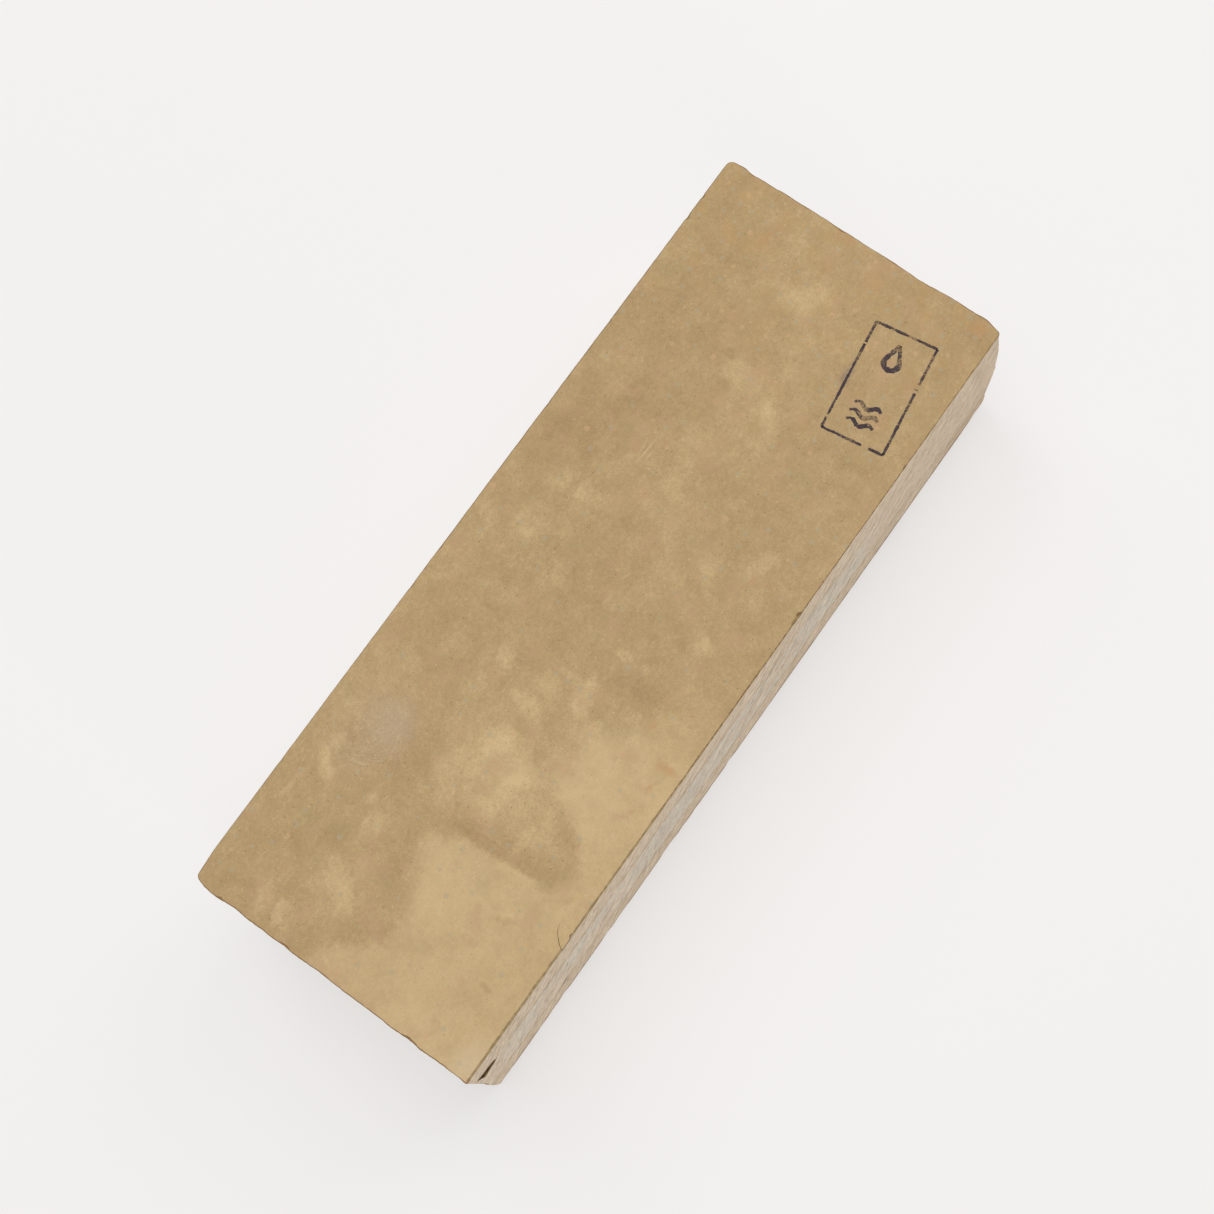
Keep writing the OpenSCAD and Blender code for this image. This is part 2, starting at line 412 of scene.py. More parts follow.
def makeHoningFinish():
    look = honingLook
    made = Finish("honingFace")
    place = made.place
    # two sizes of drift, so that no cloud keeps the outline of an ellipse
    drift = made.vector("SUBTRACT", made.mottle(0.13, 2.0, 0.5, 0.0, 1), (0.5, 0.5, 0.5))
    shiver = made.vector("SUBTRACT", made.mottle(0.6, 3.0, 0.6, 0.0, 1), (0.5, 0.5, 0.5))
    warped = made.vector("ADD", place, made.vector("ADD", made.scaled(drift, 3.6), made.scaled(shiver, 2.2)))
    x, y = made.split(warped)[:2]
    # the pale corner and the tongue that reaches into it: crisp round the tongue's tip, soft elsewhere
    bends = [((px + halfLength) / block["length"], (py + halfWidth) / block["width"])
             for px, py in look["paleEdge"]]
    limit = made.node("ShaderNodeFloatCurve", {"bends": bends},
                      {"Value": (x + halfLength) / block["length"]}) * block["width"] - halfWidth
    steepSide = made.math("ABSOLUTE", x + 60.6)  # the tongue's steep side would be too crisp
    softness = made.ease(x, -70.0, -62.0, 5.0, 2.6) + made.ease(x, -50.0, -36.0, 0.0, 7.0) \
        + made.ease(steepSide, 0.6, 3.4, 9.0, 0.0)
    paleCorner = made.ease((limit - y) / softness, -0.5, 0.9) * made.ease(x, -30.0, 0.0, 1.0, 0.2)
    tone = paleCorner * 0.38 + 0.41
    for cx, cy, halfLong, halfWide, turn, strength in look["clouds"]:
        tone = tone + made.near(warped, cx, cy, halfLong * 1.2, halfWide * 1.2, turn, 0.3) * (strength * 0.95)
    quiet = 1 - paleCorner * 0.45  # the pale corner is calmer than the rest
    broad = made.mottle(0.045, 2.0, 0.5) - 0.5
    patchy = made.noise(warped, 0.2, 5.0, 0.62) - 0.5
    fine = made.mottle(0.9, 3.0, 0.6) - 0.5
    powderGrain = made.mottle(2.3, 2.0, 0.6) - 0.5
    tone = tone + broad * 0.5 + (patchy * 0.95 + fine * 0.65 + powderGrain * 0.8) * quiet
    made.colour = made.ramp(tone, (0.0, look["deep"]), (0.45, look["middle"]), (1.0, look["pale"]))
    # hue drifts: olive, pinkish and, towards the stamped end, orange
    olive = made.ease(made.mottle(0.13, 3.0, 0.55, 0.6), 0.5, 0.72)
    made.tint(olive * 0.3, 166, 146, 101)
    rosy = made.ease(made.noise(made.shifted(60.0, 20.0, 0.0), 0.16, 3.0, 0.55), 0.52, 0.7)
    made.tint(rosy * 0.46, 184, 150, 115)
    plainX, plainY = made.split(place)[:2]
    endWarmth = made.ease(plainX, 20.0, 108.0)
    ochre = made.ease(made.noise(made.shifted(-35.0, 70.0, 0.0), 0.2, 4.0, 0.6), 0.42, 0.7)
    made.tint(ochre * (endWarmth * 0.4 + 0.1), 180, 146, 96)
    for cx, cy, halfLong, halfWide, share in look["warmSpots"]:
        made.tint(made.near(warped, cx, cy, halfLong, halfWide) * (share * 0.8), 186, 144, 98)
    # pale round spots, a few everywhere and many near the stamped end
    spotPick, spotSize, spotTint = made.split(made.cells(place, 0.3, 1))
    chosen = made.math("LESS_THAN", spotPick, 0.16 + endWarmth * 0.44)
    spot = made.fall(made.cells(place, 0.3), 0.05 + spotSize * 0.08, 0.13 + spotSize * 0.14)
    spotColour = made.blend(made.math("GREATER_THAN", spotTint, 0.7),
                            paint(171, 158, 128), paint(200, 163, 120))
    made.colour = made.blend(spot * chosen * 0.5, made.colour, spotColour)
    # and a scatter of tiny pale or rusty points
    pointPick, pointSize, pointTint = made.split(made.cells(place, 0.5, 1))
    point = made.fall(made.cells(place, 0.5), 0.07, 0.1 + pointSize * 0.1) \
        * made.math("LESS_THAN", pointPick, 0.16)
    pointColour = made.blend(made.math("GREATER_THAN", pointTint, 0.6),
                             paint(206, 190, 160), paint(190, 138, 96))
    made.colour = made.blend(point * 0.28, made.colour, pointColour)
    # dark pin-prick specks
    speckPick = made.split(made.cells(place, 0.36, 1))[0]
    speck = made.fall(made.cells(place, 0.36), 0.04, 0.085) \
        * made.math("LESS_THAN", speckPick, 0.2)
    made.tint(speck * quiet * 0.42, 104, 90, 62)
    # the scuff, a patch of fine curved rubs with a rosy grey bloom
    cx, cy, halfLong, halfWide = look["scuff"]
    patch = made.near(warped, cx, cy, halfLong, halfWide, 0.0, 0.15)
    fromCentre = made.length(made.vector("SUBTRACT", place, (cx - 0.4, cy + 1.6, block["top"])))
    rubs = made.noise(made.join(fromCentre * 2.4, plainX * 0.35, plainY * 0.35), 1.0, 3.0, 0.7)
    arcs = made.ease(rubs, 0.5, 0.68)
    stipple = made.ease(made.mottle(2.0, 3.0, 0.75), 0.52, 0.66)
    rim = made.ease(fromCentre, 4.5, 8.0) * made.fall(fromCentre, 9.5, 11.5)
    bloom = made.near(warped, cx + 2.7, cy - 3.0, 9.5, 8.5, 0.0, 0.1)
    made.tint(patch * (stipple * 0.34 + 0.1) + bloom * 0.34, 181, 159, 136)
    mostWorn = made.ease(plainX, cx - 8.0, cx + 5.0, 1.0, 0.3)  # the side towards the plain end
    rubbed = made.math("MAXIMUM", arcs * rim * mostWorn * (stipple * 0.4 + 0.3), patch * stipple * 0.3)
    made.tint(rubbed, 212, 197, 170)
    # long faint lapping scratches and a few short bright ones
    lapping = made.join(plainX * 0.035 + plainY * 0.03, plainY * 1.6 - plainX * 0.5, 0.0)
    lapped = made.ease(made.noise(lapping, 1.0, 2.0, 0.6), 0.6, 0.8)
    made.tint(lapped * 0.1, 208, 190, 152)
    for cx, cy, halfLong, halfWide, turn in look["scratches"]:
        made.tint(made.near(place, cx, cy, halfLong, halfWide, turn, 0.1) * 0.3, 215, 198, 164)
    # powdery corner, ink smudge, and the grain of the rock
    powder = made.near(warped, *look["powder"], 0.0, 0.1)
    made.tint(powder * 0.34, 212, 192, 162)
    smudge = made.near(warped, stampX - 1.6, stampY + 7.9, 5.4, 2.1, 8.0, 0.1)
    made.tint(smudge * 0.5, 120, 104, 96)
    grey = [(0.25, (0.3, 0.3, 0.3, 1.0)), (0.75, (0.7, 0.7, 0.7, 1.0))]
    grain = made.node("ShaderNodeValToRGB", {"stops": grey}, {"Fac": made.mottle(5.5, 2.0, 0.7)})
    made.colour = made.blend(0.34, made.colour, grain, "SOFT_LIGHT")
    roughness = made.mottle(0.4, 3.0, 0.6) * 0.16 + look["roughness"] - paleCorner * 0.06
    height = made.mottle(5.5, 2.0, 0.7) * 0.5 + made.mottle(1.4, 4.0, 0.6) * 0.8
    return made.surface(roughness, height, 0.03)


def makeSawnFinish():
    look = sawnLook
    made = Finish("sawnSide")
    x, y, z = made.split(made.place)
    lean = math.radians(look["lean"])
    across = x * math.sin(lean) - z * math.cos(lean)
    down = x * math.cos(lean) + z * math.sin(lean)
    drift = (made.mottle(0.06, 3.0, 0.55) - 0.5) * 5.0
    level = z + drift * 0.6 + (made.mottle(0.5, 2.0, 0.5) - 0.5) * 1.2
    made.colour = made.ramp(level / block["top"], *[(share, look[band]) for share, band in look["bands"]])
    # the blue-grey middle is broken up along the length
    pink = made.ease(made.noise(made.join(x * 0.5, y, z * 0.9), 0.055, 3.0, 0.5, 0.4), 0.5, 0.64)
    middle = made.ease(level, 15.0, 19.0) * made.fall(level, 43.0, 47.0)
    towardsEnd = made.ease(x, 44.0, 60.0) + made.ease(x, -102.0, -82.0, 0.75, 0.0)
    made.tint(middle * made.math("MAXIMUM", pink * 0.75, towardsEnd), 210, 189, 164)
    # bedding lines come and go
    seams = made.ease(made.noise(made.join(x, y, z * 9.0), 0.07, 3.0, 0.6), 0.5, 0.64)
    made.tint(seams * 0.3, 211, 192, 168)
    # saw marks: broad sweeps, narrow lines and single dark or chalky scores
    sweeps = made.noise(made.join(across * 0.32, down * 0.035, y * 0.02), 1.0, 3.0, 0.6)
    lines = made.noise(made.join(across * 1.8, down * 0.14, y * 0.02), 1.0, 3.0, 0.65)
    hairs = made.noise(made.join(across * 4.2, down * 0.3, y * 0.02), 1.0, 2.0, 0.6)
    tone = (sweeps - 0.5) * 0.34 + (lines - 0.5) * 1.25 + (hairs - 0.5) * 1.0 \
        + (made.mottle(0.8, 4.0, 0.65) - 0.5) * 0.75
    made.tint(made.ease(tone, 0.0, 0.34) * 0.85, 238, 223, 200)
    made.tint(made.fall(tone, -0.34, 0.0) * 0.8, 158, 137, 112)
    rosy = made.ease(made.noise(made.join(across * 1.1, down * 0.2, y * 0.05), 1.0, 3.0, 0.6), 0.5, 0.66)
    made.tint(rosy * 0.3, 215, 183, 156)
    # one long curved score and a grey bruise low down
    curve = made.math("ABSOLUTE", (x - 2.0) - (z - 30.0) * 0.82 - (z - 30.0) * (z - 46.0) * 0.03)
    score = made.fall(curve, 0.25, 0.9) * made.ease(z, 27.0, 31.0) * made.fall(z, 45.0, 49.0)
    near = made.math("LESS_THAN", y, 0.0)
    made.tint(score * near * 0.45, 138, 116, 92)
    fromBruise = made.length(made.join((x + 73.6 - (z - 18.0) * 0.4) * 0.55, 0.0, (z - 18.5) * 0.28))
    made.tint(made.fall(fromBruise, 0.2, 1.0) * near * 0.6, 122, 112, 108)
    # the broken foot near the stamped end shows the brown rind above its ledge
    ledge = 11.0 + (made.mottle(0.4, 2.0, 0.5) - 0.5) * 2.5
    under = made.ease(ledge - z, -0.3, 0.5) * made.ease(x, 84.0, 90.0) * near
    made.tint(under * 0.4, 186, 158, 128)
    # a dark line along the ledge: painted shade in the crack
    crackShade = made.fall(made.math("ABSOLUTE", ledge - z), 0.3, 1.1) * made.ease(x, 84.0, 90.0) * near
    made.tint(crackShade * 0.5, 140, 116, 90)
    # a browner rim along the bottom edge
    rim = made.fall(z + (made.mottle(0.35, 3.0, 0.6) - 0.5) * 3.0, 1.6, 4.4)
    made.tint(rim * 0.75, 138, 110, 82)
    height = lines * 0.6 + sweeps * 0.2 + made.mottle(4.0, 2.0, 0.7) * 0.5
    return made.surface(0.86, height, 0.12, 0.12)


def makeEdgeFinish():
    made = Finish("wornEdgeAndShade")
    x = made.split(made.place)[0]
    # the bevel is painted darker than the honing face: partly its unpolished stone, partly painted shade on
    # the sloping edge
    nibbled = made.ease(made.mottle(0.9, 3.0, 0.6), 0.4, 0.62)
    towardsMiddle = made.ease(x, -45.0, 5.0)
    dull = made.blend(towardsMiddle, paint(148, 126, 88), paint(124, 98, 62))
    bright = made.blend(towardsMiddle, paint(172, 148, 105), paint(158, 132, 88))
    made.colour = made.blend(nibbled, dull, bright)
    # browner still on the ends' bevels: their own stone and painted shade
    ends = made.ease(made.math("ABSOLUTE", x), 101.0, 101.9)
    made.tint(ends * 0.7, 152, 112, 72)
    return made.surface(0.66, made.mottle(4.0, 3.0, 0.65), 0.08)


def makeBrokenFinish():
    made = Finish("brokenEnd")
    x, y, z = made.split(made.place)
    banded = made.noise(made.join(x * 0.3, y * 0.3, z * 2.2), 0.12, 4.0, 0.6)
    blotch = made.mottle(0.09, 4.0, 0.58, 0.5)
    made.colour = made.ramp(banded * 0.45 + blotch * 0.55, (0.25, (150, 124, 90)), (0.45, (178, 152, 116)),
                            (0.6, (192, 168, 134)), (0.8, (160, 132, 96)))
    rust = made.ease(made.noise(made.shifted(11.0, -40.0, 7.0), 0.11, 4.0, 0.6), 0.53, 0.68)
    made.tint(rust * 0.55, 158, 108, 62)
    dust = made.ease(made.mottle(0.35, 4.0, 0.65), 0.5, 0.7)
    made.tint(dust * 0.4, 206, 190, 164)
    dark = made.fall(made.mottle(1.1, 5.0, 0.72), 0.3, 0.44)
    made.tint(dark * 0.45, 118, 94, 66)
    foot = made.fall(z + (made.mottle(0.25, 3.0, 0.6) - 0.5) * 8.0, 1.0, 10.0)
    made.tint(foot * 0.6, 126, 96, 64)
    height = made.mottle(0.8, 5.0, 0.68) + made.mottle(2.6, 4.0, 0.65) * 0.4
    return made.surface(0.85, height, 1.0, 0.15)


def makeRindFinish():
    made = Finish("naturalRind")
    blotch = made.mottle(0.07, 5.0, 0.62, 0.8)
    made.colour = made.ramp(blotch, (0.3, (92, 66, 44)), (0.45, (134, 98, 62)),
                            (0.56, (166, 126, 80)), (0.7, (180, 150, 112)))
    pale = made.ease(made.mottle(0.3, 4.0, 0.65), 0.54, 0.7)
    made.tint(pale * 0.5, 192, 172, 140)
    black = made.ease(made.noise(made.shifted(30.0, 5.0, 0.0), 0.2, 5.0, 0.7), 0.56, 0.66)
    made.tint(black * 0.6, 66, 52, 42)
    return made.surface(0.8, made.mottle(0.6, 6.0, 0.68), 0.7, 0.2)


def makePartingFinish():
    made = Finish("partingStainAndShade")
    # dark browns: the weathered bedding plane's own stain, deepened with painted shade of the recess between
    # the beds
    blotch = made.mottle(0.5, 4.0, 0.6)
    made.colour = made.ramp(blotch, (0.3, (84, 64, 40)), (0.5, (122, 98, 64)), (0.7, (158, 130, 90)))
    return made.surface(0.9, made.mottle(1.2, 4.0, 0.6), 0.3, 0.1)


def makeInkFinish():
    made = Finish("stampInk")
    worn = made.mottle(2.5, 4.0, 0.75)
    patchy = made.mottle(0.3, 2.0, 0.5)
    made.colour = made.blend(made.ease(worn, 0.35, 0.7), paint(48, 38, 46), paint(88, 74, 76))
    cover = made.ease(worn + (patchy - 0.5) * 0.8, 0.41, 0.49) * 0.76 + 0.2
    return made.surface(0.7, worn, 0.02, 0.2, cover)


finishes = {
    "honing": makeHoningFinish(),
    "sawn": makeSawnFinish(),
    "edge": makeEdgeFinish(),
    "broken": makeBrokenFinish(),
    "rind": makeRindFinish(),
    "parting": makePartingFinish(),
}
finishOrder = list(finishes)
inkFinish = makeInkFinish()
print("finishes made:", ", ".join(finishOrder), "and ink")


# the shape of the block

breaks = {
    # height and how far the near side's outline stands out past the honing face
    "stampedNear": [
        (0, 2.6), (2, 2.9), (4, 3.9), (9, 3.1), (14, 3.8), (20, 4.6), (28, 4.15), (38, 3.2), (49, 1.6),
        (55, 0.5), (60, 0),
    ],
    "plainNear": [
        (0, -1.1), (1, 0.25), (7, 0.57), (15, 0.63), (21.5, 0.6), (23.5, 0.3), (28, 0.05), (37, -0.1),
        (42, 0.1), (60, 0),
    ],
    "bendInFrom": 58.0,  # where the long sides begin to follow the ends
}
parting = {"run": 6.9, "depth": 9.0, "gapeUp": 5.4, "gapeDown": 3.2, "lip": 8.4, "crack": 0.12}
edges = {
    "nearPlain": 0.52,
    "nearStamped": 0.17,
    "others": 0.26,
    "chips": [  # side, place along it, half width, extra depth
        ("near", 19.9, 1.3, 0.42), ("near", 21.6, 0.9, 0.6), ("near", -34, 0.9, 0.18),
        ("near", 63, 0.8, 0.18), ("near", 90, 1.1, 0.15), ("near", 6, 0.6, 0.12), ("far", 85.4, 1, 0.45),
        ("far", 91.6, 0.7, 0.4), ("far", -22, 1.4, 0.2), ("far", 30, 1, 0.22), ("far", -70.5, 0.8, 0.2),
        ("far", 54, 0.7, 0.22), ("plain", 12, 1.4, 0.3), ("plain", -22, 2, 0.35), ("plain", 30.5, 0.9, 0.3),
        ("stamped", 6, 1.2, 0.3), ("stamped", -18, 1, 0.25), ("stamped", 31, 0.8, 0.25),
    ],
}
rindShape = {"reach": 98.3, "relief": 1.3}


# the honing face's plan, counter-clockwise from the near plain corner: x, y, outward x, outward y, side
def outline():
    radius = block["cornerRadius"]
    points = []

    def straight(start, end, step, normal, side):
        count = math.ceil((Vector(end) - Vector(start)).length / step)
        for i in range(count):
            spot = Vector(start).lerp(Vector(end), i / count)
            points.append((spot.x, spot.y, normal[0], normal[1], side))

    def corner(centre, size, begin, firstSide, secondSide):
        for i in range(block["cornerSteps"]):
            angle = math.radians(begin + 90 * i / block["cornerSteps"])
            side = firstSide if i < block["cornerSteps"] / 2 else secondSide
            points.append((centre[0] + size * math.cos(angle), centre[1] + size * math.sin(angle),
                           math.cos(angle), math.sin(angle), side))

    a, b, c, d = (radius[k] for k in ("near plain", "near stamped", "far stamped", "far plain"))
    sides, ends = block["alongStep"], block["acrossStep"]
    straight((-halfLength + a, -halfWidth), (halfLength - b, -halfWidth), sides, (0, -1), "near")
    corner((halfLength - b, -halfWidth + b), b, -90, "near", "stamped")
    straight((halfLength, -halfWidth + b), (halfLength, halfWidth - c), ends, (1, 0), "stamped")
    corner((halfLength - c, halfWidth - c), c, 0, "stamped", "far")
    straight((halfLength - c, halfWidth), (-halfLength + d, halfWidth), sides, (0, 1), "far")
    corner((-halfLength + d, halfWidth - d), d, 90, "far", "plain")
    straight((-halfLength, halfWidth - d), (-halfLength, -halfWidth + a), ends, (-1, 0), "plain")
    corner((-halfLength + a, -halfWidth + a), a, 180, "plain", "near")
    return points


def stampedPush(y, z):  # a natural break: a few large flats that meet in soft ridges
    near = along(breaks["stampedNear"], z)
    flats = [0.14 * (60 - z) + 0.2, 0.062 * (60 - z) + 1.5 + 0.02 * y, 4.3 - 0.022 * y - 0.008 * z,
             2.4 + 0.15 * z - 0.012 * y, 5.6 - 0.075 * abs(y - 14)]
    broken = min(flats) * smooth(60.5, 55.0, z) + 0.5 * wander(0, y, z, 14, 3.1)
    ripple = 0.1 * wander(0, y, 0, 4.0, 4.7) + 0.06 * wander(0, y, 0, 1.2, 5.7)
    return near + ripple + (broken - near) * smooth(-37.0, -22.0, y)


def plainPush(y, z):  # dressed from both sides and snapped, which leaves a low step
    step = 23.0 + 2.5 * wander(0, y, 0, 18, 5.0) + 0.05 * (y + halfWidth)
    near = along(breaks["plainNear"], z + 23.0 - step)
    ripple = 0.2 * wander(0, y, 0, 3.2, 1.7) + 0.09 * wander(0, y, 0, 1.1, 2.7)
    return near + ripple + 0.35 * wander(0, y, z, 16, 7.7) * smooth(-36.0, -28.0, y) * smooth(60.0, 54.0, z)


def settle(x, y, z):  # moves a point of the plain box onto the real block
    if x > 0:
        # the ground-off near corner and the fuller far one
        x -= 0.95 * smooth(33.2, 38.2, -y) * smooth(40.0, 60.0, z) * smooth(90.0, 100.0, x)
        x += 0.3 * smooth(31.8, 33.4, y) * smooth(40.0, 60.0, z) * smooth(96.0, 101.0, x)
        x += stampedPush(y, z) * smooth(breaks["bendInFrom"], halfLength, x)
    else:
        x += (0.75 * smooth(33.0, 37.75, y) ** 2 - 0.3 * smooth(26.0, 33.0, y)) * smooth(96.0, 101.0, -x)
        x -= plainPush(y, z) * smooth(breaks["bendInFrom"], halfLength, -x)
    nick = 0.3 * max(0.0, wander(x, 0, 0, 3.4, 12.0)) * smooth(5.0, 0.5, z)  # at the foot of the long sides
    y -= math.copysign(nick, y) * smooth(30.0, 36.0, abs(y))
    if y > 0:  # the far side curves in towards the plain end
        waste = clamped((-halfLength + 11.0 - x) / 11.0)
        y *= 1 - 0.6 * waste ** 2 / halfWidth
    return x, y


def opening(x, y):  # 0 at the edge of the open parting, 1 at the corner
    return clamped(1 - (x + halfLength) / parting["run"] - (y + halfWidth) / parting["depth"])


def roof(x, y):
    share = opening(x, y)
    return block["parting"] + parting["gapeUp"] * share ** 0.3 * (1 + 0.2 * wander(x, y, 0, 2.5, 1.0))


def sill(x, y):
    share = opening(x, y)
    lip = parting["lip"] * smooth(0.74, 0.86, share)  # the lower bed still stands at the very corner
    drop = parting["gapeDown"] * share ** 0.55 * (1 + 0.2 * wander(x, y, 0, 2.5, 2.0))
    height = block["parting"] + lip - drop
    return min(height, roof(x, y) - parting["crack"]) if lip > 0 else height


def bevel(point):  # how far the worn edge is cut back at a point of the outline
    x, y, nx, ny, side = point
    if side == "near":
        size = edges["nearStamped"] + (edges["nearPlain"] - edges["nearStamped"]) * smooth(60.0, -95.0, x)
        size *= 1 + 0.22 * wander(x, 0, 0, 5.0) + 0.14 * wander(x, 0, 0, 1.3)
        size = min(size, 0.2 + 0.5 * (halfLength - abs(x)))
    else:
        size = edges["others"] * (1 + 0.5 * wander(x, y, 0, 3.0) + 0.3 * wander(x, y, 0, 0.9))
    at = x if side in ("near", "far") else y
    for chipSide, place, halfWide, depth in edges["chips"]:
        if side == chipSide and abs(at - place) < halfWide:
            size += depth * (1 - ((at - place) / halfWide) ** 2) * (1 + 0.3 * wander(at, 0, 0, 0.3, 9.0))
    return max(0.05, size)


def buildSkin(name, rings):  # a closed skin over rings of equal count, from the bottom's middle to the top's
    coords, outward, sawn, broken = [], [], [], []
    faces, kinds = [], []
    for ring in rings:
        for vertex in ring["vertices"]:
            coords.append(((vertex["at"][0] + middleX) * mm, vertex["at"][1] * mm, vertex["at"][2] * mm))
            outward.append(vertex.get("outward", (0.0, 0.0, 0.0)))
            sawn.append(vertex.get("sawn", 0.0))
            broken.append(vertex.get("broken", 0.0))
    count = len(rings[0]["vertices"])
    for r in range(len(rings) - 1):
        for i in range(count):
            j = (i + 1) % count
            faces.append((r * count + i, r * count + j, (r + 1) * count + j, (r + 1) * count + i))
            kinds.append(finishOrder.index(rings[r + 1]["kind"] or sideFinish[stations[i][4]]))
    faces.append(tuple(range(count - 1, -1, -1)))
    kinds.append(finishOrder.index(rings[0]["kind"]))
    top = (len(rings) - 1) * count
    faces.append(tuple(range(top, top + count)))
    kinds.append(finishOrder.index(rings[-1]["kind"]))
    mesh = bpy.data.meshes.new(name)
    mesh.from_pydata(coords, [], faces)
    mesh.attributes.new("outward", "FLOAT_VECTOR", "POINT").data.foreach_set(
        "vector", [part for v in outward for part in v])
    mesh.attributes.new("sawn", "FLOAT", "POINT").data.foreach_set("value", sawn)
    mesh.attributes.new("broken", "FLOAT", "POINT").data.foreach_set("value", broken)
    mesh.attributes.new("kind", "INT", "FACE").data.foreach_set("value", kinds)
    return addObject(mesh)


stations = outline()
sideFinish = {"near": "sawn", "far": "sawn", "stamped": "broken", "plain": "broken"}


def sideVertex(point, z):  # a vertex on the block's side, with what the relief needs to know
    x, y, nx, ny, side = point
    isEnd = side in ("stamped", "plain")
    strength = {"stamped": 1.0, "plain": 0.42}.get(side, 0.0)
    strength *= 0.22 + 0.78 * smooth(block["top"], block["top"] - 6.0, z)
    return {"at": (*settle(x, y, z), z), "outward": (nx, ny, 0.0), "sawn": 0.0 if isEnd else 1.0,
            "broken": strength}


def inset(point, distance):  # the outline drawn in by a distance, with no crossing at the corners
    return point[0] * (1 - distance / halfLength), point[1] * (1 - distance / halfWidth)


def ring(kind, place):  # place gives x, y and z for a point of the outline
    return {"kind": kind, "vertices": [{"at": place(point)} for point in stations]}


def insetRing(kind, distance, height):
    def place(point):
        x, y = inset(point, distance)
        z = height(x, y)
        return *settle(x, y, z), z
    return ring(kind, place)


def sideRings(bottom, top, rows):  # the side between two heights that may change round the outline
    rings = []
    for row in range(rows + 1):
        vertices = []
        for point in stations:
            low, high = bottom(point), top(point)
            vertices.append(sideVertex(point, low + (high - low) * row / rows))
        rings.append({"kind": None, "vertices": vertices})
    return rings


def honingBedRings():
    rings = [insetRing("parting", d, roof) for d in (6.0, 4.2, 3.4, 2.7, 2.0, 1.4, 0.8, 0.35)]
    side = sideRings(lambda p: roof(p[0], p[1]), lambda p: block["top"] - bevel(p) * 1.05, 26)
    side[0]["kind"] = "parting"
    rings += side
    for share, drop in ((0.42, 0.42), (1.0, 0.0)):  # the worn edge: in from the side, and down from the top
        def place(point):
            size = bevel(point)
            z = block["top"] - size * drop
            return *settle(point[0] - point[2] * size * share, point[1] - point[3] * size * share, z), z
        rings.append(ring("edge", place))
    return rings + [insetRing("honing", d, lambda x, y: block["top"]) for d in (1.8, 3.6, 8.0)]


def baseBedRings():
    def underside(x, y):
        return block["rind"] + 1.9 * smooth(98.4, 100.4, x) * (0.7 + 0.3 * wander(x, y, 0, 6, 4.0))

    rings = [insetRing("rind", d, underside) for d in (8.0, 5.0, 3.4, 2.2, 1.2, 0.5)]
    side = sideRings(lambda p: underside(*settle(p[0], p[1], block["rind"])), lambda p: sill(p[0], p[1]), 54)
    side[0]["kind"] = "rind"
    rings += side
    rings += [insetRing("parting", d, sill) for d in (0.35, 0.8, 1.4, 2.0, 2.7, 3.4, 4.2, 6.0)]
    return rings


def backSkinRings():
    def relief(x, y):
        bumps = 0.5 + 0.9 * wander(x, y, 0, 22, 6.0) + 0.55 * wander(x, y, 0, 7, 8.0) \
            + 0.2 * wander(x, y, 0, 2.4, 2.0)
        return rindShape["relief"] * clamped(bumps)

    def drawn(point, distance, z):
        x, y = inset(point, distance)
        if x > 0:  # the rind has broken away short of the stamped end
            ragged = 1.3 * wander(0, y, 0, 9, 3.0) + 0.5 * wander(0, y, 0, 2.2, 3.0)
            return x * (rindShape["reach"] + ragged) / halfLength, y
        return settle(x, y, z)

    rings = []
    for step in range(25, -1, -1):  # the underside, from its middle out
        def below(point):
            x, y = drawn(point, 1.2 + step * 1.4, 0.0)
            return x, y, relief(x, y)
        rings.append(ring("rind", below))
    for distance, share in ((0.4, 0.0), (0.16, 0.3), (0.04, 0.65), (0.02, 1.0)):  # its rough edge
        def rim(point):
            uneven = 1 + 0.5 * wander(point[0], point[1], 0, 4)
            x, y = drawn(point, distance * uneven, block["rind"] * share)
            return x, y, max(relief(x, y), block["rind"] * share)
        rings.append(ring("rind", rim))
    return rings + [ring("rind", lambda point: (*drawn(point, 2.0, block["rind"]), block["rind"]))]


# relief that follows the surface: saw marks and breaks, as geometry

relief = {
    "Saw Depth": 0.05,
    "Saw Pitch": 1.1,
    "Saw Lean": math.radians(sawnLook["lean"]),
    "Break Depth": 1.5,
    "Break Size": 9.0,
    "Seed": 4.0,
}


